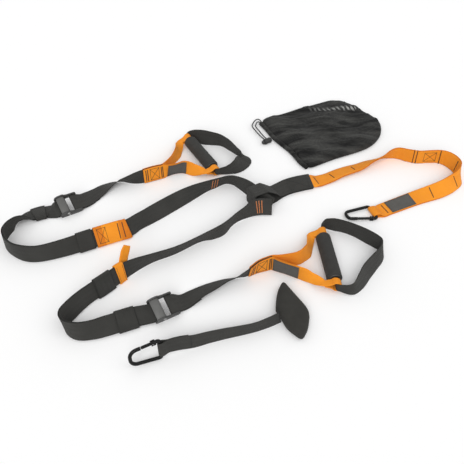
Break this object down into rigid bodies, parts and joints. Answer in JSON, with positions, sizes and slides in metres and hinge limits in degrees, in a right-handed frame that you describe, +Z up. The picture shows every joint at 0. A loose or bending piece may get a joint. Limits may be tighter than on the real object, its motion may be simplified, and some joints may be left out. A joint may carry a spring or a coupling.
{
  "type": "suspension trainer",
  "caption": "Strap suspension trainer laid out with cam buckles, orange yokes, foam grips, foot loops, anchor loop with snap hook, door anchor and mesh bag.",
  "frame": {"origin": "middle of the underside of the whole laid-out set, on the floor", "axes": "+X to the right along the longest extent, from the buckles to the anchor loop; +Y to the back, from the door anchor to the bag; +Z up from the floor"},
  "size_m": [1.0196, 0.888, 0.0695],
  "materials": {
    "black_webbing": "matt woven polyester",
    "orange_webbing": "matt woven polyester",
    "grey_patch": "matt woven label cloth, blank",
    "black_plastic": "moulded, fine grain",
    "grey_plastic": "moulded, satin",
    "foam": "closed cell foam, matt",
    "steel": "bright zinc",
    "black_metal": "gloss black coat",
    "pad_cover": "soft matt cover over foam",
    "black_mesh": "open mesh",
    "cord": "round braided cord"
  },
  "bodies": {
    "webbing_set": {"near_leg_strap": "black_webbing", "near_adjuster_tab": "orange_webbing", "near_buckle_frame": "black_plastic", "near_grip_bar": "steel", "near_cam_pin": "steel", "near_handle_strap": "black_webbing", "near_yoke_front": "orange_webbing", "near_yoke_rear": "orange_webbing", "near_yoke_patch": "grey_patch", "near_foot_loop": "black_webbing", "far_leg_strap": "black_webbing", "far_adjuster_tab": "orange_webbing", "far_buckle_frame": "black_plastic", "far_grip_bar": "steel", "far_cam_pin": "steel", "far_handle_strap": "black_webbing", "far_yoke_front": "orange_webbing", "far_yoke_rear": "orange_webbing", "far_yoke_patch": "grey_patch", "far_foot_loop": "black_webbing", "near_tab_flap": "orange_webbing", "equalizer_sleeve": "black_webbing", "anchor_strap": "orange_webbing", "anchor_patch": "grey_patch", "door_strap": "black_webbing", "door_pad": "pad_cover", "bag_body": "black_mesh", "bag_hem": "black_webbing", "drawcord_outer": "cord", "drawcord_inner": "cord", "cord_lock_body": "black_plastic"},
    "near_lever": {"near_cam_lever": "grey_plastic"},
    "far_lever": {"far_cam_lever": "grey_plastic"},
    "near_grip": {"near_foam_grip": "foam", "near_grip_tube": "black_plastic"},
    "far_grip": {"far_foam_grip": "foam", "far_grip_tube": "black_plastic"},
    "anchor_hook": {"anchor_carabiner_body": "black_metal", "anchor_carabiner_gate_pin": "steel"},
    "anchor_gate": {"anchor_carabiner_gate": "black_metal"},
    "door_hook": {"door_carabiner_body": "black_metal", "door_carabiner_gate_pin": "steel"},
    "door_gate": {"door_carabiner_gate": "black_metal"},
    "lock_button": {"cord_lock_button": "grey_plastic"},
    "near_upper_loop": {"near_upper_keeper": "black_webbing"},
    "near_lower_loop": {"near_lower_keeper": "black_webbing"},
    "far_upper_loop": {"far_upper_keeper": "black_webbing"},
    "far_lower_loop": {"far_lower_keeper": "black_webbing"}
  },
  "joints": [
    {"name": "near_lever_pivot", "type": "hinge", "parent": "webbing_set", "child": "near_lever", "pos_m": [-0.16515, -0.32085, 0.0213], "axis": [-0.4531, 0.7849, 0.4226], "range_deg": [0, 65], "stiffness_Nm_per_rad": 0.05},
    {"name": "far_lever_pivot", "type": "hinge", "parent": "webbing_set", "child": "far_lever", "pos_m": [-0.39965, -0.01885, 0.0213], "axis": [-0.4668, 0.7769, 0.4226], "range_deg": [0, 65], "stiffness_Nm_per_rad": 0.05},
    {"name": "near_grip_spin", "type": "hinge", "parent": "webbing_set", "child": "near_grip", "pos_m": [0.16535, -0.18085, 0.016], "axis": [-0.0872, 0.9962, 0], "continuous": true},
    {"name": "far_grip_spin", "type": "hinge", "parent": "webbing_set", "child": "far_grip", "pos_m": [-0.10665, 0.18215, 0.016], "axis": [-0.4756, 0.8797, 0], "continuous": true},
    {"name": "anchor_hook_swing", "type": "hinge", "parent": "webbing_set", "child": "anchor_hook", "pos_m": [0.28139, -0.02654, 0.0057], "axis": [-0.3256, 0.9455, 0], "range_deg": [0, 100]},
    {"name": "anchor_gate_pivot", "type": "hinge", "parent": "anchor_hook", "child": "anchor_gate", "pos_m": [0.27431, -0.04692, 0.0057], "axis": [0, 0, -1], "range_deg": [0, 25], "stiffness_Nm_per_rad": 0.03},
    {"name": "door_hook_swing", "type": "hinge", "parent": "webbing_set", "child": "door_hook", "pos_m": [-0.15536, -0.41672, 0.02402], "axis": [-0.0583, 0.1264, 0.9903], "range_deg": [-8, 90]},
    {"name": "door_gate_pivot", "type": "hinge", "parent": "door_hook", "child": "door_gate", "pos_m": [-0.16822, -0.41974, 0.04287], "axis": [0.415, -0.8991, 0.1392], "range_deg": [0, 25], "stiffness_Nm_per_rad": 0.03},
    {"name": "lock_button_press", "type": "slide", "parent": "webbing_set", "child": "lock_button", "axis": [0.829, 0.5592, 0], "range_m": [0, 0.0034], "stiffness_N_per_m": 300},
    {"name": "near_upper_loop_slip", "type": "slide", "parent": "webbing_set", "child": "near_upper_loop", "axis": [-0.6814, -0.7319, 0], "range_m": [-0.003, 0.003]},
    {"name": "near_lower_loop_slip", "type": "slide", "parent": "webbing_set", "child": "near_lower_loop", "axis": [0.889, 0.458, 0], "range_m": [-0.003, 0.003]},
    {"name": "far_upper_loop_slip", "type": "slide", "parent": "webbing_set", "child": "far_upper_loop", "axis": [-0.8756, -0.4831, 0], "range_m": [-0.003, 0.003]},
    {"name": "far_lower_loop_slip", "type": "slide", "parent": "webbing_set", "child": "far_lower_loop", "axis": [0.9175, 0.3976, 0], "range_m": [-0.003, 0.003]}
  ]
}
